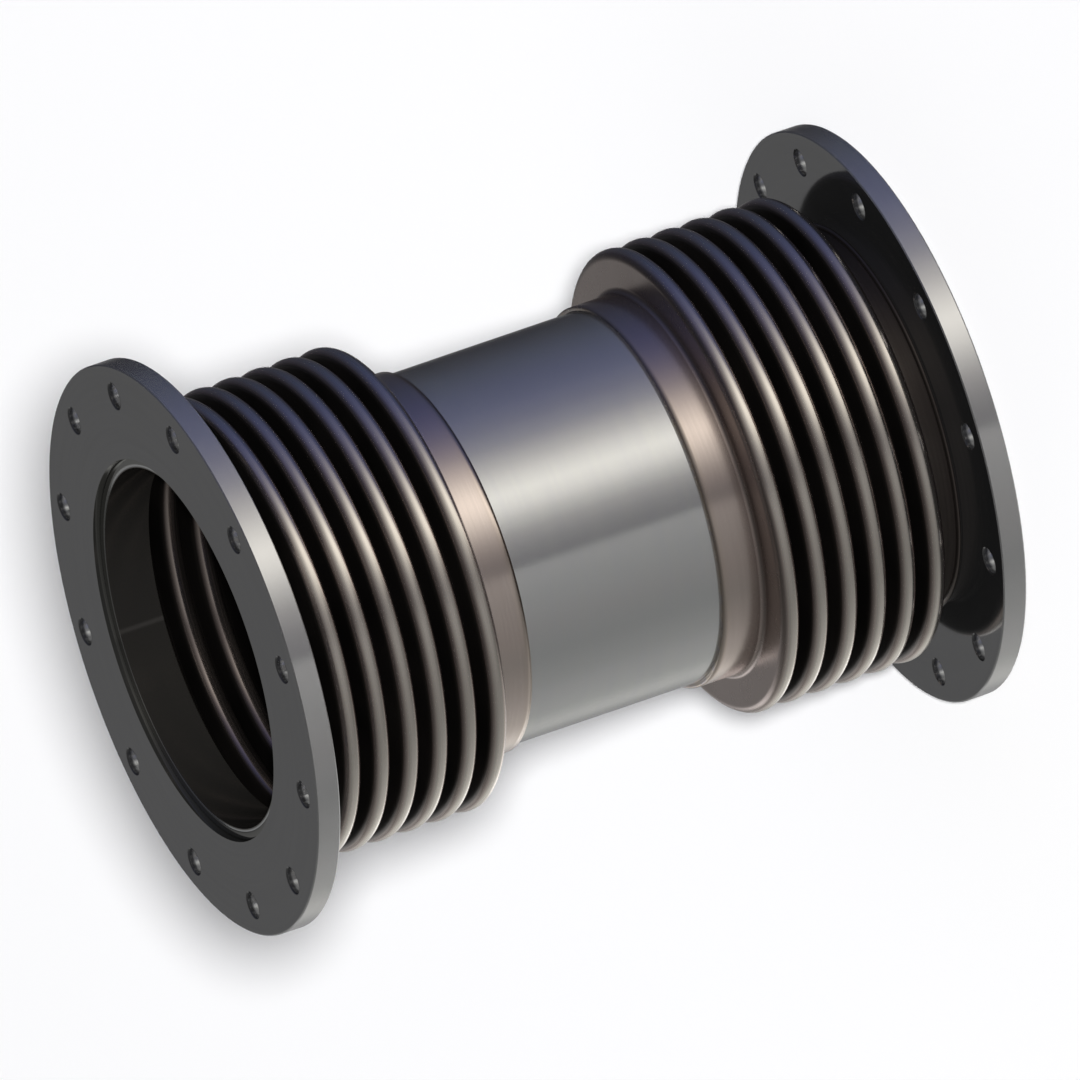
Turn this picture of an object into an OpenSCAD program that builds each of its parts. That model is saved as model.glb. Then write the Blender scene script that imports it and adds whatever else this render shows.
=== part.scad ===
// Universal metal bellows expansion joint for a pipeline or an exhaust duct.
// Two plate flanges, two convoluted bellows and a plain centre pipe lie on one axis.
// The joint stands on the face of its lower flange, with its axis along +Z.

/* [Flanges] */
// Outside diameter of each flange
flange_d = 375; // [360:1:440]
// Thickness of each flange
flange_t = 16; // [10:0.5:24]
// Distance from the middle of each bolt hole in to the rim
rim_margin = 20; // [14:0.5:30]
// Number of bolt holes in each flange
bolt_count = 12; // [4:4:24]
// Diameter of each bolt hole
bolt_hole_d = 17; // [10:0.5:20]
// Edge break on the rim and on the bolt holes of each flange
edge_break = 0.8; // [0.3:0.1:1.5]

/* [Pipe] */
// Outside diameter of the centre pipe and of the two stubs
pipe_d = 244.5; // [230:0.5:250]
// Wall of the centre pipe and of the two stubs
pipe_wall = 3.6; // [2:0.1:6]
// Length of centre pipe that shows between the two cuffs
pipe_show = 134; // [60:1:300]

/* [Bellows] */
// Number of convolutions in each bellows
convolutions = 6; // [2:1:10]
// Distance from one crest to the next
pitch = 20.4; // [16:0.1:26]
// Wall of the bellows, all plies together
bellows_wall = 2.8; // [1:0.1:4]
// Height of each crest above the neck and the cuff
crest_h = 27.1; // [22:0.1:36]
// Straight neck between a flange and the first convolution
neck_len = 17.3; // [8:0.1:40]
// Straight cuff that slips over the centre pipe
cuff_len = 25.3; // [10:0.1:50]

/* [Fits and welds] */
// Clearance on the radius of each slip fit
slip = 0.3; // [0.1:0.05:0.5]
// Depth of the tube ends below each outer flange face
set_back = 5; // [3:0.5:8]
// Length of stub or pipe that reaches past the start of a bend
tube_reach = 2; // [0:0.5:4]
// Depth of the seal weld in the mouth of each flange
face_weld = 2.5; // [1:0.1:3]
// Leg of the fillet weld behind each flange
back_weld = 3; // [1.5:0.1:5]
// Leg of the fillet weld at the end of each cuff
cuff_weld = 2.2; // [1:0.1:3]

/* [Hidden] */

// Steps round a full circle, and round the small circles of the bends
$fn = 96;
bend_fn = 48;

// Radii, from the pipe outwards
pipe_r = pipe_d / 2;
pipe_bore_r = pipe_r - pipe_wall;
cuff_in_r = pipe_r + slip;
cuff_mid_r = cuff_in_r + bellows_wall / 2;
cuff_out_r = cuff_in_r + bellows_wall;
flange_bore_r = cuff_out_r + slip;
flange_r = flange_d / 2;
bolt_circle_r = flange_r - rim_margin;
crest_r = cuff_out_r + crest_h;

// Every bend of the bellows has the same radius at the middle of its wall
bend_r = pitch / 4;
bend_out_r = bend_r + bellows_wall / 2;
bend_in_r = bend_r - bellows_wall / 2;
root_centre_r = cuff_mid_r + bend_r;
crest_centre_r = crest_r - bend_out_r;

// Heights, from the face of the lower flange upwards
bend_start_z = flange_t + neck_len;
bend_end_z = bend_start_z + convolutions * pitch;
cuff_end_z = bend_end_z + cuff_len;
stub_end_z = bend_start_z + tube_reach;
pipe_start_z = bend_end_z - tube_reach;
middle_z = cuff_end_z + pipe_show / 2;
total_z = 2 * middle_z;

// Half of a hole spacing turns the bolt holes off the main centre lines
hole_step = 360 / bolt_count;
hole_turn = hole_step / 2;

// The seal weld covers the end of the bellows wall and half of the stub's end
face_weld_in_r = pipe_r - pipe_wall / 2;
// A flat of this height is left on the root side of each weld
weld_toe = 0.4;
// Cutting tools run past the faces that they cut by this much
over = 1;

// Colours of the plate, the pipe, the formed sheet and the heat-tinted welds
flange_grey = [0.33, 0.33, 0.34];
pipe_grey = [0.55, 0.56, 0.57];
bellows_steel = [0.62, 0.58, 0.55];
weld_brown = [0.36, 0.32, 0.29];

// Heights of the crests, and of the roots between them
function crest_z(i) = bend_start_z + pitch * (i + 0.5);
function root_z(i) = bend_start_z + pitch * (i + 1);

// Turns a part of the lower end over about the middle of the joint
module at_upper_end() {
    translate([0, 0, total_z]) mirror([0, 0, 1]) children();
}

// A tube as a turned ring between two radii and two heights
module ring_between(inner_r, outer_r, bottom_z, top_z) {
    rotate_extrude() translate([inner_r, bottom_z]) square([outer_r - inner_r, top_z - bottom_z]);
}

// Section of the flange plate, with the edges of its rim broken
module flange_section() {
    polygon([
        [flange_bore_r, 0],
        [flange_r - edge_break, 0],
        [flange_r, edge_break],
        [flange_r, flange_t - edge_break],
        [flange_r - edge_break, flange_t],
        [flange_bore_r, flange_t]
    ]);
}

// One bolt hole with a small countersink at each face
module bolt_hole() {
    translate([0, 0, -over]) cylinder(h = flange_t + 2 * over, d = bolt_hole_d);
    translate([0, 0, -over])
        cylinder(h = over + edge_break, r1 = bolt_hole_d / 2 + edge_break + over, r2 = bolt_hole_d / 2);
    translate([0, 0, flange_t - edge_break])
        cylinder(h = over + edge_break, r1 = bolt_hole_d / 2, r2 = bolt_hole_d / 2 + edge_break + over);
}

// Slip-on plate flange with its bolt circle
module flange() {
    color(flange_grey) difference() {
        rotate_extrude() flange_section();
        for (i = [0 : bolt_count - 1])
            rotate([0, 0, hole_turn + i * hole_step])
                translate([bolt_circle_r, 0, 0]) bolt_hole();
    }
}

// Stub of pipe inside the neck of the bellows
module stub() {
    color(pipe_grey) ring_between(pipe_bore_r, pipe_r, set_back, stub_end_z);
}

// Full circle of one bend, before it is cut to a half or a quarter
module bend_circle() {
    difference() {
        circle(r = bend_out_r, $fn = bend_fn);
        circle(r = bend_in_r, $fn = bend_fn);
    }
}

// Half bend at the top of a convolution, open towards the axis
module crest_bend(z) {
    translate([crest_centre_r, z]) intersection() {
        bend_circle();
        translate([0, -pitch]) square([pitch, 2 * pitch]);
    }
}

// Half bend between two convolutions, open away from the axis
module root_bend(z) {
    translate([root_centre_r, z]) intersection() {
        bend_circle();
        translate([-pitch, -pitch]) square([pitch, 2 * pitch]);
    }
}

// Quarter bend from the neck or the cuff into a convolution
module end_bend(z, towards) {
    translate([root_centre_r, z]) intersection() {
        bend_circle();
        translate([-pitch, towards > 0 ? 0 : -pitch]) square([pitch, pitch]);
    }
}

// Flat side wall of a convolution, between its root and its crest
module side_wall(z) {
    translate([root_centre_r, z - bellows_wall / 2])
        square([crest_centre_r - root_centre_r, bellows_wall]);
}

// Straight end of the bellows wall between two heights
module straight_end(bottom_z, top_z) {
    translate([cuff_in_r, bottom_z]) square([bellows_wall, top_z - bottom_z]);
}

// Section of the whole bellows: neck, convolutions and cuff in one sheet
module bellows_section() {
    straight_end(set_back, bend_start_z);
    end_bend(bend_start_z, 1);
    for (i = [0 : convolutions - 1]) {
        side_wall(crest_z(i) - bend_r);
        crest_bend(crest_z(i));
        side_wall(crest_z(i) + bend_r);
    }
    for (i = [0 : convolutions - 2]) root_bend(root_z(i));
    end_bend(bend_end_z, -1);
    straight_end(bend_end_z, cuff_end_z);
}

// Formed bellows with a neck for the flange and a cuff for the centre pipe
module bellows() {
    color(bellows_steel) rotate_extrude() bellows_section();
}

// Plain pipe between the two bellows
module centre_pipe() {
    color(pipe_grey) ring_between(pipe_bore_r, pipe_r, pipe_start_z, total_z - pipe_start_z);
}

// Seal weld between the flange bore and the ends of the tubes set back in it
module face_seal_weld() {
    color(weld_brown) rotate_extrude() polygon([
        [face_weld_in_r, set_back],
        [face_weld_in_r, set_back - weld_toe],
        [flange_bore_r - weld_toe, set_back - face_weld],
        [flange_bore_r, set_back - face_weld],
        [flange_bore_r, set_back]
    ]);
}

// Fillet weld between the back of the flange and the neck
module back_fillet_weld() {
    color(weld_brown) rotate_extrude() polygon([
        [cuff_out_r, flange_t],
        [cuff_out_r + back_weld, flange_t],
        [cuff_out_r + back_weld, flange_t + weld_toe],
        [cuff_out_r + weld_toe, flange_t + back_weld],
        [cuff_out_r, flange_t + back_weld]
    ]);
}

// Fillet weld between the end of the cuff and the centre pipe
module cuff_fillet_weld() {
    color(weld_brown) rotate_extrude() polygon([
        [pipe_r, cuff_end_z],
        [pipe_r + cuff_weld, cuff_end_z],
        [pipe_r + cuff_weld, cuff_end_z + weld_toe],
        [pipe_r + weld_toe, cuff_end_z + cuff_weld],
        [pipe_r, cuff_end_z + cuff_weld]
    ]);
}

flange();  // lower_flange
stub();  // lower_stub
bellows();  // lower_bellows
face_seal_weld();  // lower_face_weld
back_fillet_weld();  // lower_back_weld
cuff_fillet_weld();  // lower_cuff_weld
centre_pipe();
at_upper_end() flange();  // upper_flange
at_upper_end() stub();  // upper_stub
at_upper_end() bellows();  // upper_bellows
at_upper_end() face_seal_weld();  // upper_face_weld
at_upper_end() back_fillet_weld();  // upper_back_weld
at_upper_end() cuff_fillet_weld();  // upper_cuff_weld
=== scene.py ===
# %% [markdown]
# # A twin bellows expansion joint, dressed for its photograph
#
# The imported CAD model is the fixed frame: two drilled flanges, two stubs, a centre pipe,
# two bellows and six rings of weld. This script gives every steel surface its finish,
# and it makes the bellows and the welds again as smooth surfaces.

import math

import bpy
import numpy as np
from mathutils import Matrix, Vector


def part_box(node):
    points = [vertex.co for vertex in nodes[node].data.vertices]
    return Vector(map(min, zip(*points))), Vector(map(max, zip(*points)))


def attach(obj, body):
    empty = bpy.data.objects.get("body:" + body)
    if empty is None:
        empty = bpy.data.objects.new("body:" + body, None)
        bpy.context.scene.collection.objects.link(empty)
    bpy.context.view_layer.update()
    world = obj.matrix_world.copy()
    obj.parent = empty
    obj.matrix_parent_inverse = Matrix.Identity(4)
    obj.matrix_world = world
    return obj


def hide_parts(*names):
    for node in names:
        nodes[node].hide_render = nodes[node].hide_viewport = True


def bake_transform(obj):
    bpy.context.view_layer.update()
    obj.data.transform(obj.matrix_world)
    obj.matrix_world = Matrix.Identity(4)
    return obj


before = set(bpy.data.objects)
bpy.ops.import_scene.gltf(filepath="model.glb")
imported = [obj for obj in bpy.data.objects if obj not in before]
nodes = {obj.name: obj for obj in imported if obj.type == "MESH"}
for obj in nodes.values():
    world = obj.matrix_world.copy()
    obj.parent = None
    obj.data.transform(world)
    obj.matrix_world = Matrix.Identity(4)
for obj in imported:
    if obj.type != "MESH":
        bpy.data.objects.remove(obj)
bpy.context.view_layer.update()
print("nodes:", ", ".join(sorted(nodes)))

# %% [markdown]
# ## Sizes
#
# Drawings of pipework are in millimetres and Blender works in metres, so each size is
# written in millimetres times MM. The sizes of the bellows are those of the solid model.
# Where a size can be measured on the frame, it is, so the two can't drift apart.

# %% Sizes of the joint
MM = 0.001

flange_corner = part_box("lower_flange")[1]
flange_radius = flange_corner.x
flange_thickness = flange_corner.z
total_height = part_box("upper_flange")[1].z
mid_height = total_height / 2
pipe_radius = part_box("centre_pipe")[1].x

BOLT_HOLES = 12
hole_margin = 20.0 * MM         # from the rim of a flange to the middle of a hole
bolt_circle_radius = flange_radius - hole_margin
bolt_hole_radius = 8.5 * MM

neck_inside = 122.55 * MM       # the neck and the cuff slip over the pipe with a little clearance
wall = 2.8 * MM                 # all plies of the bellows together
convolutions = 6
pitch = 20.4 * MM               # from one crest to the next
crest_radius = 152.45 * MM
tube_end_height = 5.0 * MM      # the tube ends sit this far below the flange face
bend_start = 33.3 * MM          # the first bend leaves the straight neck here
cuff_length = 25.3 * MM
slip_fit = 0.3 * MM             # between the neck and the bore of its flange

bend_end = bend_start + convolutions * pitch
cuff_end = bend_end + cuff_length
neck_middle = neck_inside + wall / 2
neck_outside = neck_inside + wall
flange_bore = neck_outside + slip_fit
bend_radius = pitch / 4
root_centre = neck_middle + bend_radius
crest_centre = crest_radius - wall / 2 - bend_radius
print(f"height {total_height:.4f} m, flange radius {flange_radius:.4f} m, bends end at {bend_end:.4f} m")

# %% [markdown]
# ## Camera
#
# The photograph has no visible perspective: both flanges have the same size. A very long
# lens would give that, and an orthographic camera gives it exactly. It looks down by 19.3
# degrees and it is rolled, so that the axis of the joint, which stands upright here, runs
# from the lower left to the upper right. The camera's axes are built from the view
# direction, the axis of the joint and the roll, because that needs no trial and error.

# %% Camera
camera_azimuth = math.radians(-94.3)
camera_elevation = math.radians(19.28)
picture_tilt = math.radians(18.8)
camera_distance = 2.0
frame_width = 0.6753            # metres across the square picture
target = Vector((-0.0063, 0.0005, 0.2487))


def from_angles(azimuth, elevation):
    """Unit vector (cos e cos a, cos e sin a, sin e) of two angles in radians."""
    return Vector((math.cos(elevation) * math.cos(azimuth), math.cos(elevation) * math.sin(azimuth),
                   math.sin(elevation)))


towards_camera = from_angles(camera_azimuth, camera_elevation)
axis_down = Vector((0, 0, -1))
along = (axis_down - towards_camera * axis_down.dot(towards_camera)).normalized()
across = along.cross(towards_camera)
picture_right = math.cos(picture_tilt) * along + math.sin(picture_tilt) * across
picture_down = math.cos(picture_tilt) * across - math.sin(picture_tilt) * along

camera = bpy.data.objects.new("camera", bpy.data.cameras.new("camera"))
bpy.context.scene.collection.objects.link(camera)
camera.data.type = "ORTHO"
camera.data.ortho_scale = frame_width
rotation = Matrix((picture_right, -picture_down, towards_camera)).transposed().to_4x4()
camera.matrix_world = Matrix.Translation(target + camera_distance * towards_camera) @ rotation
bpy.context.scene.camera = camera
print("camera looks along", [round(-c, 3) for c in towards_camera])

# %% [markdown]
# ## Colours and nodes
#
# Colours are written as sRGB hex values, the way a paint chart gives them, and one function
# turns them into the linear values that Blender's shaders work in. One more function adds a
# shader node, sets its options and fills each of its inputs with a value or a link, and a
# third makes an empty material. Everything else in a finish is spelled out where it is used.

# %% Colour, node and material helpers
def linear(hex_colour):
    """Linear RGBA of an sRGB hex colour: c/12.92 below 0.04045, else ((c+0.055)/1.055)^2.4."""
    srgb = np.array([int(hex_colour[i:i + 2], 16) for i in (1, 3, 5)]) / 255
    light = np.where(srgb < 0.04045, srgb / 12.92, ((srgb + 0.055) / 1.055) ** 2.4)
    return (*light, 1.0)


def add(tree, kind, inputs=None, stops=(), **options):
    """Adds a node with its options. An input is a value, or an output of another node to link to it.

    A colour ramp also takes its stops, each a position from 0 to 1 and a hex colour."""
    node = tree.nodes.new(kind)
    for name, value in options.items():
        setattr(node, name, value)
    for socket, value in (inputs or {}).items():
        if isinstance(value, bpy.types.NodeSocket):
            tree.links.new(value, node.inputs[socket])
        else:
            node.inputs[socket].default_value = value
    if stops:
        elements = node.color_ramp.elements
        while len(elements) < len(stops):
            elements.new(0.5)
        for element, (position, colour) in zip(elements, stops):
            element.position = position
            element.color = linear(colour)
    return node


def new_material(name):
    """A material, its node tree and the shader that comes with it."""
    material = bpy.data.materials.new(name)
    material.use_nodes = True
    return material, material.node_tree, material.node_tree.nodes["Principled BSDF"]


print("mid grey #808080 is", round(linear("#808080")[0], 3), "in linear light")

# %% [markdown]
# ## Floor
#
# The joint lies on a plain sheet of white paper. A bent studio backdrop would do as well, but
# the photograph shows no horizon, so a wide disc is enough. Polished steel would mirror it
# from below, so gloss rays look past it to the light tent. It lies a hair below the flange,
# because two faces in one plane would flicker.

# %% Floor
FLOOR_RADIUS = 5.0
FLOOR_GAP = 0.3 * MM
FLOOR_POINTS = 96
angles = np.linspace(0, 2 * np.pi, FLOOR_POINTS, endpoint=False)
floor_rim = np.stack([FLOOR_RADIUS * np.cos(angles), FLOOR_RADIUS * np.sin(angles), 0 * angles], 1)
floor_mesh = bpy.data.meshes.new("floor")
floor_mesh.from_pydata(floor_rim.tolist(), [], [list(range(FLOOR_POINTS))])
floor = bpy.data.objects.new("floor", floor_mesh)
bpy.context.scene.collection.objects.link(floor)
floor.location.z = -FLOOR_GAP
floor.visible_glossy = False

# uncoated white paper: matt, with no shine at all
paper, _, shader = new_material("pale_paper_floor")
shader.inputs["Base Color"].default_value = linear("#F9F9FA")
shader.inputs["Roughness"].default_value = 0.9
shader.inputs["Specular IOR Level"].default_value = 0.1
floor_mesh.materials.append(paper)
print("floor radius", FLOOR_RADIUS, "m")

# %% [markdown]
# ## Light
#
# Bare steel has hardly any colour of its own. It shows the room round it, so the room is
# most of its look. It could be built from cards and lamps, but here it is a light tent
# painted on the world: a direction is turned into an azimuth, counted from the camera, and a
# height, and each wall or pane of the tent is one colour ramp across times one ramp up. The
# bands that the photograph shows on the pipe give the stops of these ramps.

# %% Directions in the tent
scene = bpy.context.scene
scene.view_settings.view_transform = "Standard"
world = bpy.data.worlds.new("light_tent")
scene.world = world
world.use_nodes = True
tent = world.node_tree
tent.nodes.clear()

direction = add(tent, "ShaderNodeTexCoord").outputs["Generated"]
side = Vector((towards_camera.y, -towards_camera.x, 0)).normalized()
front = Vector((towards_camera.x, towards_camera.y, 0)).normalized()
along_side = add(tent, "ShaderNodeVectorMath", {0: direction, 1: side},
                 operation="DOT_PRODUCT").outputs["Value"]
along_front = add(tent, "ShaderNodeVectorMath", {0: direction, 1: front},
                  operation="DOT_PRODUCT").outputs["Value"]
azimuth = add(tent, "ShaderNodeMath", {0: along_side, 1: along_front}, operation="ARCTAN2").outputs[0]
height = add(tent, "ShaderNodeSeparateXYZ", {0: direction}).outputs["Z"]


def tent_light(gain, across_stops, height_stops):
    """Light of a wall or pane: gain times a ramp by azimuth times a ramp by height.

    Azimuths are degrees from the camera's side of the joint, and heights run from -1 straight
    below to 1 straight above."""
    colours = []
    for value, reach, stops in ((azimuth, math.pi, [(math.radians(a), c) for a, c in across_stops]),
                                (height, 1.0, height_stops)):
        place = add(tent, "ShaderNodeMapRange", {"Value": value, "From Min": -reach, "From Max": reach})
        ramp = add(tent, "ShaderNodeValToRGB", {"Fac": place.outputs["Result"]},
                   [((at + reach) / (2 * reach), colour) for at, colour in stops])
        colours.append(ramp.outputs["Color"])
    colour = add(tent, "ShaderNodeMix", {0: 1.0, 6: colours[0], 7: colours[1]},
                 data_type="RGBA", blend_type="MULTIPLY").outputs[2]
    return add(tent, "ShaderNodeBackground", {"Color": colour, "Strength": gain}).outputs[0]


print("tent: front", [round(c, 3) for c in front], "side", [round(c, 3) for c in side])

# %% [markdown]
# The walls go all the way round: cool and dark on the left, warm grey at the camera, and a
# flat grey side on the right that starts with a hard edge, which the pipe mirrors as the
# sharp line along its lower half. Above the horizon they fade, so that the flange faces,
# which look upwards, stay dark.

# %% Walls of the tent
room = tent_light(1.0, [
    (-180, "#A4A4A4"),          # far wall
    (-170, "#69696A"),
    (-160, "#3C3C42"),
    (-140, "#353845"),          # dark cool side
    (-118, "#3B425A"),
    (-98, "#454B6D"),
    (-80, "#575B7C"),
    (-64, "#62617C"),
    (-46, "#737179"),
    (-30, "#7E7C7C"),
    (-10, "#8B8989"),
    (4, "#848181"),
    (17.6, "#696768"),
    (18.6, "#A09E9C"),          # edge of the grey side
    (36, "#908F8D"),
    (56, "#848280"),
    (72, "#7E7E7C"),
    (128, "#7E7E7C"),
    (158, "#888886"),
    (168, "#A4A4A4"),
    (180, "#A4A4A4"),
], [(-1.0, "#C4C4C4"), (-0.857, "#DDDDDD"), (-0.629, "#F6F6F6"), (-0.326, "#FFFFFF"), (0.017, "#F9F9F9"),
    (0.326, "#E7E7E7"), (0.50, "#CBCBCB"), (0.656, "#AFAFAF"), (0.946, "#6F6F6F"), (1.0, "#595959")])
print("walls all the way round")

# %% [markdown]
# Four panes are added to the walls. The warm softbox, a little left of the camera, makes the
# one broad highlight on every piece. The pale strip, far round on the right, lights the lower
# edges. The high pane above it is only seen by way of the bellows wall, as a glint low on the
# cuff. The low glow stands for light that a bench throws back up: only steel that leans
# down sees it, and it draws the thin bright line under each crest.

# %% Panes of the tent
warm_softbox = tent_light(1.5, [
    (-84, "#000000"),
    (-70, "#363531"),
    (-56, "#66645F"),
    (-44, "#A29E96"),
    (-34, "#D2CEC4"),
    (-26, "#ECE7DC"),           # middle of the softbox
    (-18, "#D3CFC5"),
    (-10, "#9C9991"),
    (-2, "#5F5C57"),
    (6, "#272623"),
    (14, "#000000"),
], [(-1.0, "#DDDDDD"), (-0.857, "#F4F4F4"), (-0.629, "#FFFFFF"), (-0.326, "#F0F0F0"), (0.017, "#AAAAAA"),
    (0.358, "#767676"), (0.656, "#4F4F4F"), (0.946, "#000000")])
pale_strip = tent_light(1.0, [
    (76, "#000000"),
    (96, "#51504E"),
    (112, "#767573"),
    (128, "#90908C"),
    (140, "#B6B5B0"),           # middle of the strip
    (148, "#B9B8B3"),
    (156, "#9A9A97"),
    (165, "#3F3E3E"),
    (174, "#000000"),
], [(-1.0, "#D9D9D9"), (-0.326, "#FFFFFF"), (-0.20, "#F9F9F9"), (-0.065, "#CBCBCB"), (0.088, "#959595"),
    (0.29, "#686868"), (0.42, "#3F3F3F"), (0.656, "#000000")])
high_pane = tent_light(1.2, [
    (146, "#000000"),
    (155, "#FFFFFF"),
    (166, "#FFFFFF"),
    (173, "#000000"),
], [(-1.0, "#000000"), (0.12, "#000000"), (0.24, "#FFFFFF"), (0.36, "#FFFFFF"), (0.48, "#000000")])
low_glow = tent_light(0.9, [
    (139, "#000000"),
    (150, "#D0D0CE"),
    (156, "#FFFFFD"),
    (166, "#FFFFFD"),
    (175, "#000000"),
], [(-1.0, "#000000"), (-0.75, "#909090"), (-0.58, "#FFFFFF"), (-0.43, "#FFFFFF"), (-0.37, "#8A8A8A"),
    (-0.32, "#000000")])
panes = [warm_softbox, pale_strip, high_pane, low_glow]
for pane in panes:
    room = add(tent, "ShaderNodeAddShader", {0: room, 1: pane}).outputs[0]
print("panes:", len(panes))

# %% [markdown]
# The camera itself should see white behind the joint and not the tent. The light path tells
# camera rays from all others, so they get a plain white backdrop and the steel gets the tent.

# %% White backdrop
backdrop = add(tent, "ShaderNodeBackground", {"Color": linear("#FDFDFD"), "Strength": 1.0}).outputs[0]
seen = add(tent, "ShaderNodeLightPath").outputs["Is Camera Ray"]
mixed = add(tent, "ShaderNodeMixShader", {0: seen, 1: room, 2: backdrop})
add(tent, "ShaderNodeOutputWorld", {"Surface": mixed.outputs[0]})
print("backdrop is white for the camera alone")

# %% [markdown]
# Two lamps light the paper, which the tent alone leaves grey. The overhead softbox is wide, so
# the shade where the joint stands is soft. The key shines from just above and beside the
# camera, so its shadow falls behind the joint and only a dim edge of it shows round the
# outline. Steel would mirror both as hard spots, so gloss rays don't see them.

# %% Lamps
def add_lamp(name, kind, towards, distance, energy, **settings):
    """Lamp at target + distance * towards, aimed back at the target; unseen in reflections."""
    lamp = bpy.data.objects.new(name, bpy.data.lights.new(name, kind))
    scene.collection.objects.link(lamp)
    lamp.data.energy = energy
    for setting, value in settings.items():
        setattr(lamp.data, setting, value)
    lamp.visible_glossy = False
    lamp.location = target + distance * towards
    lamp.rotation_mode = "QUATERNION"
    lamp.rotation_quaternion = towards.to_track_quat("Z", "Y")
    return lamp


key_offset = math.tan(math.radians(0.38))
key_direction = (towards_camera + key_offset * (0.6 * picture_right - picture_down)).normalized()
key = add_lamp("key_lamp", "SUN", key_direction, distance=3.0, energy=8.6, angle=math.radians(2.6))
overhead = add_lamp("overhead_softbox", "AREA", Vector((0, 0, 1)), distance=2.5, energy=8.0,
                    shape="DISK", size=3.0)
print("lamps:", key.name, "and", overhead.name)

# %% [markdown]
# ## Patterns that run round the axis
#
# Every finish on this object was made by turning: a lathe faced the flanges, rollers formed
# the bellows, and the pipe was polished on rollers. So the marks run round the axis. A wave
# texture would give perfect rings, which look printed. A noise read at a point on the unit
# circle, with the height or the radius as its third coordinate, gives streaks that run
# round, differ from each other and close on themselves without a seam.

# %% Coordinates and streaks round the axis
def round_the_axis(tree):
    """Object coordinates in metres: the place, its height z, its radius and the level unit vector outwards.

    The radius is the length of (x, y, 0), and the vector is (x, y, 0) over that length."""
    place = add(tree, "ShaderNodeTexCoord").outputs["Object"]
    split = add(tree, "ShaderNodeSeparateXYZ", {0: place})
    flat = add(tree, "ShaderNodeCombineXYZ",
               {"X": split.outputs["X"], "Y": split.outputs["Y"], "Z": 0.0}).outputs[0]
    radius = add(tree, "ShaderNodeVectorMath", {0: flat}, operation="LENGTH").outputs["Value"]
    outward = add(tree, "ShaderNodeVectorMath", {0: flat}, operation="NORMALIZE").outputs[0]
    return place, split.outputs["Z"], radius, outward


def streaks(tree, outward, travel, spacing, stretch):
    """Noise at stretch times the outward vector, lifted by travel over spacing (both in metres).

    The streaks are spaced along travel, and a larger stretch makes them shorter."""
    circle = add(tree, "ShaderNodeVectorMath", {0: outward, "Scale": stretch}, operation="SCALE").outputs[0]
    steps = add(tree, "ShaderNodeMath", {0: travel, 1: 1 / spacing}, operation="MULTIPLY").outputs[0]
    lift = add(tree, "ShaderNodeCombineXYZ", {"X": 0.0, "Y": 0.0, "Z": steps}).outputs[0]
    point = add(tree, "ShaderNodeVectorMath", {0: circle, 1: lift}, operation="ADD").outputs[0]
    return add(tree, "ShaderNodeTexNoise", {"Vector": point, "Scale": 1.0, "Detail": 2.0,
                                            "Roughness": 0.5}).outputs["Fac"]


print("patterns: streaks round the axis")

# %% [markdown]
# The streaks and a softer noise of smudges then vary the colour and the gloss of each steel.
# A noise mostly stays between 0.3 and 0.7, so that span is stretched over the wanted range.

# %% How marks change a colour and a gloss
NOISE_LOW, NOISE_HIGH = 0.3, 0.7


def marked_colour(tree, marks, share, ground, mark):
    """Colour from ground towards mark, by the marks' noise stretched from 0 to share."""
    amount = add(tree, "ShaderNodeMapRange", {"Value": marks, "From Min": NOISE_LOW, "From Max": NOISE_HIGH,
                                              "To Min": 0.0, "To Max": share}).outputs["Result"]
    return add(tree, "ShaderNodeMix", {0: amount, 6: ground, 7: mark}, data_type="RGBA").outputs[2]


def marked_gloss(tree, smudges, low, high, marks, swing):
    """Roughness from low to high by the smudges, plus or minus swing by the marks."""
    base = add(tree, "ShaderNodeMapRange", {"Value": smudges, "From Min": NOISE_LOW, "From Max": NOISE_HIGH,
                                            "To Min": low, "To Max": high}).outputs["Result"]
    fine = add(tree, "ShaderNodeMapRange", {"Value": marks, "From Min": NOISE_LOW, "From Max": NOISE_HIGH,
                                            "To Min": -swing, "To Max": swing}).outputs["Result"]
    return add(tree, "ShaderNodeMath", {0: base, 1: fine}, operation="ADD").outputs[0]


def off_by(tree, value, middle):
    """How far a value lies from a middle: the size of value minus middle."""
    difference = add(tree, "ShaderNodeMath", {0: value, 1: middle}, operation="SUBTRACT").outputs[0]
    return add(tree, "ShaderNodeMath", {0: difference}, operation="ABSOLUTE").outputs[0]


print("marks read noise from", NOISE_LOW, "to", NOISE_HIGH)

# %% [markdown]
# ## Flange steel
#
# The flanges are carbon steel plate, faced and turned on a lathe. The faces carry a dark
# oiled skin that mirrors like gunmetal, and the rim was skimmed bright. Two materials could
# do that, but the faces and the rim are one solid, so one material tells them apart by
# their radius. The turning marks are under a millimetre apart, too fine for the
# picture, so they are drawn 2.5 mm apart.

# %% Faces and rim of the flanges
TURNING_SPACING = 2.5 * MM
FLANGE_SMUDGES = 45 * MM        # where a hand or a rag went over the plate
# carbon steel, turned and oiled: faces like a dark mirror, with a bright rim and bright holes
flange_steel, tree, shader = new_material("turned_carbon_steel_plate")
place, z, radius, outward = round_the_axis(tree)

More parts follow.
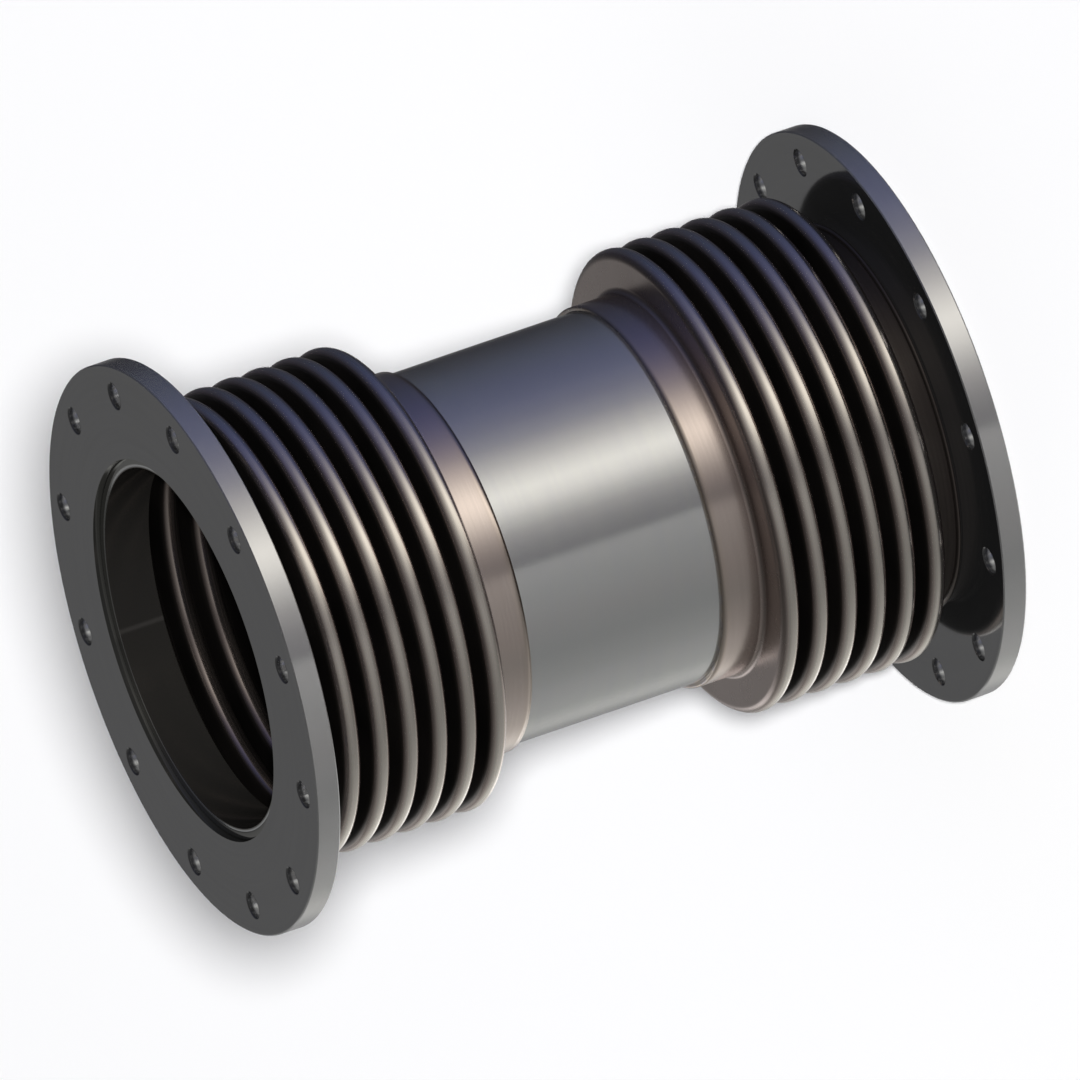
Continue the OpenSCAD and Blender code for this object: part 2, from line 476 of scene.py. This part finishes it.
turning = streaks(tree, outward, radius, TURNING_SPACING, 1.2)
smudges = add(tree, "ShaderNodeTexNoise", {"Vector": place, "Scale": 1 / FLANGE_SMUDGES,
                                           "Detail": 3.0}).outputs["Fac"]
rim = add(tree, "ShaderNodeMapRange", {"Value": radius, "From Min": flange_radius - 1.2 * MM,
                                       "From Max": flange_radius - 0.4 * MM},
          interpolation_type="SMOOTHSTEP").outputs["Result"]
plate_colour = marked_colour(tree, turning, 1.0, linear("#7B7B7C"), linear("#7F7F80"))
plate_colour = add(tree, "ShaderNodeMix", {0: rim, 6: plate_colour, 7: linear("#C6C6C7")},
                   data_type="RGBA").outputs[2]
print("flange faces dark, rims bright")

# %% [markdown]
# A drill leaves clean bright walls in the bolt holes. Near both faces the walls are painted
# dark, as painted shade at the rims of the holes. The holes repeat round the plate, so the
# angle is folded: it runs up and down between one hole and the next, and one distance then
# serves all twelve. The first hole is half a step from the X axis.

# %% Bolt holes and mouth of the flanges
half_step = math.pi / BOLT_HOLES
around = add(tree, "ShaderNodeSeparateXYZ", {0: outward})
turn = add(tree, "ShaderNodeMath", {0: around.outputs["Y"], 1: around.outputs["X"]},
           operation="ARCTAN2").outputs[0]
folded = add(tree, "ShaderNodeMath", {0: turn, 1: half_step}, operation="PINGPONG").outputs[0]
angle_off = add(tree, "ShaderNodeMath", {0: folded, 1: -half_step}, operation="ADD").outputs[0]
beside_hole = add(tree, "ShaderNodeMath", {0: angle_off, 1: bolt_circle_radius},
                  operation="MULTIPLY").outputs[0]
past_hole = add(tree, "ShaderNodeMath", {0: radius, 1: bolt_circle_radius}, operation="SUBTRACT").outputs[0]
from_hole = add(tree, "ShaderNodeCombineXYZ", {"X": beside_hole, "Y": past_hole, "Z": 0.0}).outputs[0]
from_hole = add(tree, "ShaderNodeVectorMath", {0: from_hole}, operation="LENGTH").outputs["Value"]
drilled = add(tree, "ShaderNodeMapRange", {"Value": from_hole, "From Min": bolt_hole_radius + 0.5 * MM,
                                           "From Max": bolt_hole_radius + 0.2 * MM,
                                           "To Min": 0.0, "To Max": 1.0}).outputs["Result"]

in_plate = off_by(tree, off_by(tree, z, mid_height), (total_height - flange_thickness) / 2)
# painted shade: hole walls dark within 2.6 mm of each face, bright drilled steel deeper in
hole_rim_shade = add(tree, "ShaderNodeMapRange", {"Value": in_plate, "From Min": 4.0 * MM, "From Max": 5.4 * MM,
                                              "To Min": 0.0, "To Max": 1.0}).outputs["Result"]
hole_colour = add(tree, "ShaderNodeMix", {0: hole_rim_shade, 6: linear("#E2E2E2"), 7: linear("#707072")},
                  data_type="RGBA").outputs[2]
plate_colour = add(tree, "ShaderNodeMix", {0: drilled, 6: plate_colour, 7: hole_colour},
                   data_type="RGBA").outputs[2]
in_bore = add(tree, "ShaderNodeMapRange", {"Value": radius, "From Min": flange_bore + 0.2 * MM,
                                           "From Max": flange_bore + 0.5 * MM,
                                           "To Min": 1.0, "To Max": 0.0}).outputs["Result"]
plate_colour = add(tree, "ShaderNodeMix", {0: in_bore, 6: plate_colour, 7: linear("#767673")},
                   data_type="RGBA").outputs[2]
tree.links.new(plate_colour, shader.inputs["Base Color"])
print("bolt holes:", BOLT_HOLES, "in each flange")

# %% [markdown]
# The plate is ground fine, so it mirrors almost sharply, and the rim and the holes are a
# little rougher. A metallic share just under 1 and a slightly dull edge tint stand for the
# film of oil.

# %% Gloss of the flanges
EXTRA_ROUGHNESS = 0.06          # of the rim and the holes
gloss = marked_gloss(tree, smudges, 0.06, 0.10, turning, 0.005)
for part in (rim, drilled):
    gloss = add(tree, "ShaderNodeMath", {0: part, 1: EXTRA_ROUGHNESS, 2: gloss},
                operation="MULTIPLY_ADD").outputs[0]
tree.links.new(gloss, shader.inputs["Roughness"])
shader.inputs["Metallic"].default_value = 0.96
shader.inputs["Specular Tint"].default_value = linear("#E3E3E3")
grooves = add(tree, "ShaderNodeBump", {"Height": turning, "Strength": 0.01, "Distance": 0.02 * MM})
tree.links.new(grooves.outputs[0], shader.inputs["Normal"])
flange_names = ("lower_flange", "upper_flange")
for name in flange_names:
    nodes[name].material_slots[0].material = flange_steel
print("flange steel on", len(flange_names), "flanges")

# %% [markdown]
# ## Pipe steel
#
# The centre pipe and the stubs are welded steel pipe with a smooth satin polish. The polish
# runs round the pipe, so faint bands round it vary its gloss, and hand oil leaves soft smudges.
# Nobody polished the bore, so the inner wall keeps its dark mill scale. A polishing belt's
# lines are finer than the picture, so the bands are drawn 3 mm apart.

# %% Skin and bore of the pipe
POLISH_SPACING = 3.0 * MM
PIPE_SMUDGES = 60 * MM
# steel pipe, polished with a belt: clean bands of light along it, a little soft at their edges
pipe_steel, tree, shader = new_material("satin_steel_pipe")
place, z, radius, outward = round_the_axis(tree)

polish = streaks(tree, outward, z, POLISH_SPACING, 1.5)
smudges = add(tree, "ShaderNodeTexNoise", {"Vector": place, "Scale": 1 / PIPE_SMUDGES,
                                           "Detail": 3.0}).outputs["Fac"]
skin = marked_colour(tree, polish, 1.0, linear("#C5C6C8"), linear("#C8C9C9"))
inside = add(tree, "ShaderNodeMapRange", {"Value": radius, "From Min": pipe_radius - 3.2 * MM,
                                          "From Max": pipe_radius - 2.6 * MM,
                                          "To Min": 1.0, "To Max": 0.0}).outputs["Result"]
skin = add(tree, "ShaderNodeMix", {0: inside, 6: skin, 7: linear("#6C6965")}, data_type="RGBA").outputs[2]
print("pipe: bright outside, mill scale inside")

# %% [markdown]
# Pipe of this size is rolled from strip and welded along its length. The seam is ground flush
# outside and stays as a faint paler line inside. A painted line would need a UV map, but a
# straight seam up a round wall only needs two dot products: one measures how far a point lies
# beside it, and the other keeps it off the opposite wall. The bellows uses the same function.

# %% Seam in the bore of the pipe
PIPE_SEAM_HALF_WIDTH = 2.2 * MM
pipe_seam_side = Vector((0.272, 0.962, 0)).normalized()


def seam_line(tree, place, outward, towards, half_width, full_share):
    """1 on a seam that runs up the wall on one side, 0 away from it.

    The distance beside the seam is the size of place dot the level direction at right angles to
    towards. The line fades from full_share of half_width to half_width, and it stays where
    outward dot towards is above zero."""
    level = Vector((-towards.y, towards.x, 0))
    beside = add(tree, "ShaderNodeVectorMath", {0: place, 1: level}, operation="DOT_PRODUCT").outputs["Value"]
    beside = add(tree, "ShaderNodeMath", {0: beside}, operation="ABSOLUTE").outputs[0]
    near = add(tree, "ShaderNodeMapRange", {"Value": beside, "From Min": half_width * full_share,
                                            "From Max": half_width,
                                            "To Min": 1.0, "To Max": 0.0}).outputs["Result"]
    facing = add(tree, "ShaderNodeVectorMath", {0: outward, 1: towards},
                 operation="DOT_PRODUCT").outputs["Value"]
    this_side = add(tree, "ShaderNodeMath", {0: facing, 1: 0.0}, operation="GREATER_THAN").outputs[0]
    return add(tree, "ShaderNodeMath", {0: near, 1: this_side}, operation="MULTIPLY").outputs[0]


seam = seam_line(tree, place, outward, pipe_seam_side, PIPE_SEAM_HALF_WIDTH, 0.2)
seam = add(tree, "ShaderNodeMath", {0: seam, 1: inside}, operation="MULTIPLY").outputs[0]
skin = add(tree, "ShaderNodeMix", {0: seam, 6: skin, 7: linear("#8E8A86")}, data_type="RGBA").outputs[2]
tree.links.new(skin, shader.inputs["Base Color"])
tree.links.new(marked_gloss(tree, smudges, 0.12, 0.15, polish, 0.004), shader.inputs["Roughness"])
shader.inputs["Metallic"].default_value = 0.96
shader.inputs["Specular Tint"].default_value = linear("#DCDCDC")
grain = add(tree, "ShaderNodeBump", {"Height": polish, "Strength": 0.004, "Distance": 0.02 * MM})
tree.links.new(grain.outputs[0], shader.inputs["Normal"])
pipe_names = ("centre_pipe", "lower_stub", "upper_stub")
for name in pipe_names:
    nodes[name].material_slots[0].material = pipe_steel
print("pipe steel on", len(pipe_names), "pieces")

# %% [markdown]
# ## Bellows sheet
#
# The bellows are cold-formed from thin stainless sheet. Rollers leave it bright, with faint
# lines that run round it, and its colour is warmer than the pipe's. The crests are rubbed
# by handling and look softer. Hardly any light gets into the folds, and ray tracing alone
# leaves them too bright, so shade is painted into the colour: every point of the sheet
# carries a number, its painted shade, from 0 on a crest to 1 deep in a fold, and the colour
# and the gloss follow it. Each tube was rolled from flat sheet, so one planished seam runs
# up its far side, where the sheet lies open.

# %% Seam of the bellows sheet
SHEET_SEAM_HALF_WIDTH = 1.6 * MM
sheet_seam_side = Vector((0.30, 0.95, 0)).normalized()
# bright stainless sheet, rolled and pressed: warm light on the crests, brown painted shade in the folds
sheet_steel, tree, shader = new_material("formed_stainless_sheet")
place, z, radius, outward = round_the_axis(tree)
# painted shade per point: 0 on the crests, up to 1 deep in the folds
painted_shade = add(tree, "ShaderNodeAttribute", attribute_name="painted_shade").outputs["Fac"]

seam = seam_line(tree, place, outward, sheet_seam_side, SHEET_SEAM_HALF_WIDTH, 0.7)
outer_skin = add(tree, "ShaderNodeMath", {0: radius, 1: neck_middle}, operation="GREATER_THAN").outputs[0]
open_to_see = add(tree, "ShaderNodeMapRange", {"Value": painted_shade, "From Min": 0.12, "From Max": 0.16,
                                               "To Min": 1.0, "To Max": 0.0}).outputs["Result"]
for where in (outer_skin, open_to_see):
    seam = add(tree, "ShaderNodeMath", {0: seam, 1: where}, operation="MULTIPLY").outputs[0]
print("bellows sheet: seam on the far side")

# %% [markdown]
# The colour starts from the painted shade, takes a little from the rollers' lines, and turns
# faintly to straw within 7 mm of the cuff's weld, where the torch heated it. The lines of real
# rollers are a few tenths of a millimetre apart, so they are drawn 1.6 mm apart.

# %% Colour of the bellows sheet
ROLLING_SPACING = 1.6 * MM
HEAT_WIDTH = 7 * MM
SEAM_SHARE = 0.25               # how much of the seam's own colour shows
rolling = streaks(tree, outward, z, ROLLING_SPACING, 2.0)
# shade painted into the colour: bright on crests and cuffs, dark on necks and in folds
skin = add(tree, "ShaderNodeValToRGB", {"Fac": painted_shade}, [
    (0.0, "#EAE4DD"), (0.05, "#E2DCD5"), (0.10, "#E1D4CE"),             # crests and cuffs
    (0.24, "#AC9F9A"), (0.41, "#504B48"),                               # open walls and necks
    (0.60, "#3A3735"), (1.0, "#262322")]).outputs["Color"]              # folds
skin = marked_colour(tree, rolling, 0.10, skin, linear("#A69A94"))
from_middle = off_by(tree, z, mid_height)
cuff_heat = add(tree, "ShaderNodeMapRange", {"Value": from_middle, "From Min": mid_height - cuff_end,
                                             "From Max": mid_height - cuff_end + HEAT_WIDTH,
                                             "To Min": 0.2, "To Max": 0.0},
                interpolation_type="SMOOTHSTEP").outputs["Result"]
skin = add(tree, "ShaderNodeMix", {0: cuff_heat, 6: skin, 7: linear("#CDBB9F")}, data_type="RGBA").outputs[2]
seam_faint = add(tree, "ShaderNodeMath", {0: seam, 1: SEAM_SHARE}, operation="MULTIPLY").outputs[0]
skin = add(tree, "ShaderNodeMix", {0: seam_faint, 6: skin, 7: linear("#A8998C")}, data_type="RGBA").outputs[2]
tree.links.new(skin, shader.inputs["Base Color"])
print("bellows sheet: straw tint", round(HEAT_WIDTH / MM), "mm wide at the cuff's weld")

# %% [markdown]
# The gloss is that of bright rolled sheet, rougher on the rubbed crests, in the folds and on
# the seam. The painted shade in the folds also takes a little from the metallic look.

# %% Gloss of the bellows sheet
SHEET_SMUDGES = 30 * MM
RUBBED_DEPTH = 0.08             # shelter at which the rubbing of a crest ends
RUBBED_ROUGHNESS = 0.15
FOLD_ROUGHNESS = 0.5
SEAM_ROUGHNESS = 0.03
smudges = add(tree, "ShaderNodeTexNoise", {"Vector": place, "Scale": 1 / SHEET_SMUDGES,
                                           "Detail": 3.0}).outputs["Fac"]
gloss = marked_gloss(tree, smudges, 0.13, 0.17, rolling, 0.004)
rubbed = add(tree, "ShaderNodeMapRange", {"Value": painted_shade, "From Min": 0.0, "From Max": RUBBED_DEPTH,
                                          "To Min": RUBBED_ROUGHNESS, "To Max": 0.0}).outputs["Result"]
for part, roughness in ((seam, SEAM_ROUGHNESS), (rubbed, 1.0), (painted_shade, FOLD_ROUGHNESS)):
    gloss = add(tree, "ShaderNodeMath", {0: part, 1: roughness, 2: gloss}, operation="MULTIPLY_ADD").outputs[0]
tree.links.new(gloss, shader.inputs["Roughness"])
metal = add(tree, "ShaderNodeMath", {0: painted_shade, 1: -0.05, 2: 1.0}, operation="MULTIPLY_ADD")
tree.links.new(metal.outputs[0], shader.inputs["Metallic"])
lines = add(tree, "ShaderNodeBump", {"Height": rolling, "Strength": 0.01, "Distance": 0.02 * MM})
tree.links.new(lines.outputs[0], shader.inputs["Normal"])
print("bellows sheet: rubbed crests, dull folds")

# %% [markdown]
# ## Weld metal
#
# The welds on the cuffs were laid by hand with a torch and brushed afterwards. That leaves
# stainless weld metal pale, with soft patches of straw and violet where the heat coloured
# it, and a grit of scale that is rougher than the sheet beside it. Two noises do both: one as
# wide as a heat patch, 9 mm, and one as fine as the grit, 0.8 mm.

# %% Weld metal
HEAT_PATCH = 9 * MM
GRIT = 0.8 * MM
# stainless weld, laid by torch and brushed: a pale, slightly rough line with a blush of heat
weld_metal, tree, shader = new_material("heat_tinted_weld")
place = add(tree, "ShaderNodeTexCoord").outputs["Object"]
heat = add(tree, "ShaderNodeTexNoise", {"Vector": place, "Scale": 1 / HEAT_PATCH,
                                        "Detail": 3.0}).outputs["Fac"]
grit = add(tree, "ShaderNodeTexNoise", {"Vector": place, "Scale": 1 / GRIT, "Detail": 2.0}).outputs["Fac"]
tints = add(tree, "ShaderNodeValToRGB", {"Fac": heat},
            [(0.30, "#C5BAB0"), (0.45, "#D0C3B5"), (0.55, "#C0B8B8"), (0.70, "#D6CDC3")])
tree.links.new(tints.outputs["Color"], shader.inputs["Base Color"])
roughness = add(tree, "ShaderNodeMapRange", {"Value": grit, "From Min": NOISE_LOW, "From Max": NOISE_HIGH,
                                             "To Min": 0.18, "To Max": 0.28})
tree.links.new(roughness.outputs["Result"], shader.inputs["Roughness"])
shader.inputs["Metallic"].default_value = 1.0
scale_bump = add(tree, "ShaderNodeBump", {"Height": grit, "Strength": 0.1, "Distance": 0.05 * MM})
tree.links.new(scale_bump.outputs[0], shader.inputs["Normal"])
print("weld metal: heat patches", round(HEAT_PATCH / MM), "mm wide")

# %% [markdown]
# ## Turning a section into a piece
#
# Bellows and weld rings are all turned shapes: one closed outline in the plane of radius and
# height, carried once round the axis. Blender's Screw modifier could turn them, but a grid
# of points worked out as arrays can also change its section on the way round, and that is how
# a weld gets its ripples. The grid wraps both ways, so the skin is closed without a cap
# or a seam.

# %% Function that turns a section
def turned_piece(name, radii, heights, turns, material):
    """Skin of points (radius cos t, radius sin t, height) for each turn t and outline point.

    radii and heights are arrays of outline points, or of turns by outline points. The outline
    runs clockwise seen with the radius to the right, so the faces look outwards."""
    radii, heights = np.broadcast_arrays(np.atleast_2d(radii), np.atleast_2d(heights))
    radii = np.broadcast_to(radii, (turns, radii.shape[1]))
    heights = np.broadcast_to(heights, (turns, heights.shape[1]))
    t = np.linspace(0, 2 * np.pi, turns, endpoint=False)[:, None]
    points = np.stack([radii * np.cos(t), radii * np.sin(t), heights], 2).reshape(-1, 3)

    count = radii.shape[1]
    row = np.arange(turns)[:, None]
    column = np.arange(count)[None, :]
    here = row * count + column
    up = row * count + (column + 1) % count
    next_here = (row + 1) % turns * count + column
    next_up = (row + 1) % turns * count + (column + 1) % count
    quads = np.stack([here, up, next_up, next_here], 2).reshape(-1, 4)

    mesh = bpy.data.meshes.new(name)
    mesh.vertices.add(len(points))
    mesh.vertices.foreach_set("co", points.ravel())
    mesh.loops.add(quads.size)
    mesh.loops.foreach_set("vertex_index", quads.ravel())
    mesh.polygons.add(len(quads))
    mesh.polygons.foreach_set("loop_start", np.arange(0, quads.size, 4))
    mesh.polygons.foreach_set("use_smooth", np.ones(len(quads), bool))
    mesh.update(calc_edges=True)
    mesh.validate()
    mesh.materials.append(material)
    piece = bpy.data.objects.new(name, mesh)
    bpy.context.scene.collection.objects.link(piece)
    return piece


print("sections are turned by turned_piece()")

# %% [markdown]
# ## Bellows
#
# A bellows starts as a thin laminated tube. Water pressure bulges it out between rings,
# and the press closes the bulges into even convolutions. A sine wave would be a quick way
# to draw them, but its wall would be thick in one place and thin in another. The real
# section is one wall of constant thickness that follows arcs and straight sides, so the
# middle line of that wall is laid out first, with its direction at each point, and both skins
# are that line moved half a wall to either side. All arcs share one radius, so crest and
# root mirror each other.

# %% Section of the bellows
ROOT_STEPS = 17                 # points on the half circle of a root
CREST_STEPS = 25                # crests are seen best and get more
END_STEPS = ROOT_STEPS // 2 + 1
STRAIGHT_STEPS = 8


def arc(centre_radius, centre_height, start, end, steps):
    """Points centre + bend_radius (cos a, sin a) and the unit vectors (cos a, sin a) on an arc.

    Angles are in degrees, 0 along the radius and 90 upwards."""
    angle = np.radians(np.linspace(start, end, steps))
    unit = np.stack([np.cos(angle), np.sin(angle)], 1)
    return np.array([centre_radius, centre_height]) + bend_radius * unit, unit


def straight_tube(low, high):
    """Points (neck_middle, height) from low to high, and their outer side, which is (1, 0)."""
    heights = np.linspace(low, high, STRAIGHT_STEPS)
    return np.stack([np.full_like(heights, neck_middle), heights], 1), np.tile([1.0, 0.0], (STRAIGHT_STEPS, 1))


def bellows_section():
    """Closed outline of the wall: the middle line plus, then minus, half a wall times its outer side.

    Crests bulge away from the arc's centre and roots towards the axis, so the outer side is
    the arc's own unit vector on a crest and minus that vector on a root."""
    neck, neck_side = straight_tube(tube_end_height, bend_start)
    first_bend, unit = arc(root_centre, bend_start, 180, 90, END_STEPS)
    lines, sides = [neck[:-1], first_bend], [neck_side[:-1], -unit]
    for i in range(convolutions):
        crest_height = bend_start + pitch * (i + 0.5)
        crest, unit = arc(crest_centre, crest_height, -90, 90, CREST_STEPS)
        lines.append(crest)
        sides.append(unit)
        if i < convolutions - 1:
            root, unit = arc(root_centre, crest_height + pitch / 2, 270, 90, ROOT_STEPS)
            lines.append(root)
            sides.append(-unit)
    last_bend, unit = arc(root_centre, bend_end, 270, 180, END_STEPS)
    cuff, cuff_side = straight_tube(bend_end, cuff_end)
    line = np.concatenate([*lines, last_bend, cuff[1:]])
    side = np.concatenate([*sides, -unit, cuff_side[1:]])
    outer = line + side * wall / 2
    inner = line - side * wall / 2
    return np.concatenate([outer, inner[::-1]])


section = bellows_section()
print("bellows section:", len(section), "points, widest", round(section[:, 0].max(), 5), "m")

# %% [markdown]
# The painted shade of each point, which the bellows sheet reads, comes from the section
# itself: it is the depth below the crests. The cuffs, the necks and the wall beside a cuff lie
# deep but open, so they get values of their own: the necks are painted dark as shade, and the
# upper cuff is painted a little brighter than the lower one, as a painted highlight. On the
# inside the roots are the crests, and the sides of the folds that look towards the middle of
# the joint catch no light from its mouth and stay dark.

# %% Where the sheet gets its painted shade
FOLD_DEPTH = 8.0 * MM           # as dark as it gets this far below a crest
INNER_PAINTED_SHADE = 0.08            # of the roots, seen from inside
INNER_FOLD_DEPTH = 9.0 * MM
# the upper cuff is painted a little brighter than the lower one: a painted highlight
LOWER_CUFF_PAINTED_SHADE = 0.13
UPPER_CUFF_PAINTED_SHADE = 0.10
# the neck, between a flange and the first fold, is painted dark as shade
NECK_PAINTED_SHADE = 0.385
WALL_PAINTED_SHADE = 0.24             # at most, beside the cuff
MIDDLE_SHADE = 1.5              # added where the inner skin looks towards the middle


def section_painted_shade(outline, cuff_shelter):
    """Painted shade of each outline point. Outer skin: depth below the crests over FOLD_DEPTH.
    Inner skin: the roots' own value plus the height above the bore over INNER_FOLD_DEPTH, plus
    MIDDLE_SHADE times how far it looks to the middle.

    Both are kept between 0 and 1, and the cuff, the neck and the wall beside the cuff have
    values of their own."""
    half = len(outline) // 2
    radius, up = outline[:half, 0], outline[:half, 1]
    outer = np.clip((crest_radius - radius) / FOLD_DEPTH, 0, 1)
    beside_cuff = up > bend_end - pitch / 2
    outer[beside_cuff] = np.minimum(outer[beside_cuff], WALL_PAINTED_SHADE)
    outer[up > bend_end] = cuff_shelter
    outer[up < bend_start] = NECK_PAINTED_SHADE
    inner = INNER_PAINTED_SHADE + (outline[half:, 0] - neck_inside) / INNER_FOLD_DEPTH
    step = np.gradient(outline[half:], axis=0)
    faces_middle = np.clip(-step[:, 0] / np.hypot(step[:, 0], step[:, 1]), 0, 1)
    return np.concatenate([outer, np.clip(inner + MIDDLE_SHADE * faces_middle, 0, 1)])


def set_painted_shade(piece, values):
    """Stores one painted shade value per point, which the bellows sheet reads."""
    attribute = piece.data.attributes.new("painted_shade", "FLOAT", "POINT")
    attribute.data.foreach_set("value", np.asarray(values, np.float32))


lower_painted_shade = section_painted_shade(section, LOWER_CUFF_PAINTED_SHADE)
upper_painted_shade = section_painted_shade(section, UPPER_CUFF_PAINTED_SHADE)
print("shelter from", lower_painted_shade.min(), "to", lower_painted_shade.max())

# %% [markdown]
# The lower bellows is welded to the lower end at its neck and to the middle pipe at its
# cuff. The upper one is the same piece turned over. A section every two degrees looks round
# and keeps each skin under 200,000 triangles.

# %% The two bellows
BELLOWS_TURNS = 180
lower_bellows = turned_piece("lower_bellows_sheet", section[:, 0], section[:, 1], BELLOWS_TURNS,
                             sheet_steel)
set_painted_shade(lower_bellows, np.tile(lower_painted_shade, BELLOWS_TURNS))
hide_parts("lower_bellows")
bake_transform(lower_bellows)

flipped = section[::-1] * [1, -1] + [0, total_height]
upper_bellows = turned_piece("upper_bellows_sheet", flipped[:, 0], flipped[:, 1], BELLOWS_TURNS,
                             sheet_steel)
set_painted_shade(upper_bellows, np.tile(upper_painted_shade[::-1], BELLOWS_TURNS))
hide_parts("upper_bellows")
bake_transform(upper_bellows)
print("bellows:", len(lower_bellows.data.polygons), "faces each")

# %% [markdown]
# ## Welds
#
# Each weld is a small ring with a bulging face. A torch weld is a row of overlapping
# puddles, so its face rises and falls every couple of millimetres. A plain torus would miss
# both the corner that it sits in and the puddles. The section here is a quarter-round
# bead in its corner, and the bulge is scaled by a ripple that runs round.

# %% Weld rings
RIPPLE = 2.6 * MM
STEPS_PER_RIPPLE = 5
BEAD_STEPS = 7


def weld_ring(name, corner, legs, ripple, material):
    """Bead in a corner: corner plus swell (leg_r cos a, leg_z sin a), a from 0 to 90 degrees, and the corner.

    legs are signed lengths along the radius and the height. Each puddle swells the face by the
    share ripple times a half circle, sqrt(1 - (2 phase - 1)^2), with a sharp valley between two."""
    ripples = round(2 * math.pi * corner[0] / RIPPLE)
    turns = ripples * STEPS_PER_RIPPLE
    phase = (np.arange(turns) % STEPS_PER_RIPPLE) / STEPS_PER_RIPPLE
    swell = 1 - ripple + ripple * np.sqrt(1 - (2 * phase - 1) ** 2)
    angle = np.radians(np.linspace(0, 90, BEAD_STEPS))
    radii = corner[0] + legs[0] * np.cos(angle)[None, :] * swell[:, None]
    heights = corner[1] + legs[1] * np.sin(angle)[None, :] * swell[:, None]
    radii = np.concatenate([radii, np.full((turns, 1), corner[0])], 1)
    heights = np.concatenate([heights, np.full((turns, 1), corner[1])], 1)
    if legs[0] * legs[1] > 0:
        radii, heights = radii[:, ::-1], heights[:, ::-1]
    return turned_piece(name, radii, heights, turns, material)


print(f"ripples every {RIPPLE / MM:.1f} mm")

# %% [markdown]
# The weld behind a flange was dressed smooth, and it gets the bellows sheet with the neck's
# painted shade, so it is as dark as the neck beside it. The seal weld in the mouth was faced
# with the plate, so it gets the plate's steel. Only the low pale weld at the end of a cuff
# still shows puddles. Each ring rides on the body that carries it.

# %% The six welds
welds = [
    # name, corner's radius and height, two legs, share of ripple, steel, and whether the pipe carries it
    ("back_weld", neck_outside, flange_thickness, 2.4 * MM, 2.4 * MM, 0.0, sheet_steel, False),
    ("face_weld", flange_bore, tube_end_height, -5.2 * MM, -0.3 * MM, 0.0, flange_steel, False),
    ("cuff_weld", pipe_radius, cuff_end, 2.9 * MM, 0.6 * MM, 0.08, weld_metal, True),
]
for name, corner_radius, corner_height, leg_r, leg_z, ripple, material, on_pipe in welds:
    for end, sign in (("lower", 1), ("upper", -1)):
        level = corner_height if sign > 0 else total_height - corner_height
        bead = weld_ring(f"{end}_{name}_bead", (corner_radius, level), (leg_r, sign * leg_z), ripple, material)
        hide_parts(f"{end}_{name}")
        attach(bead, "middle" if on_pipe else f"{end}_end")
        # the back weld takes the neck's painted shade
        if material is sheet_steel:
            set_painted_shade(bead, np.full(len(bead.data.vertices), NECK_PAINTED_SHADE))
print("welds:", 2 * len(welds))
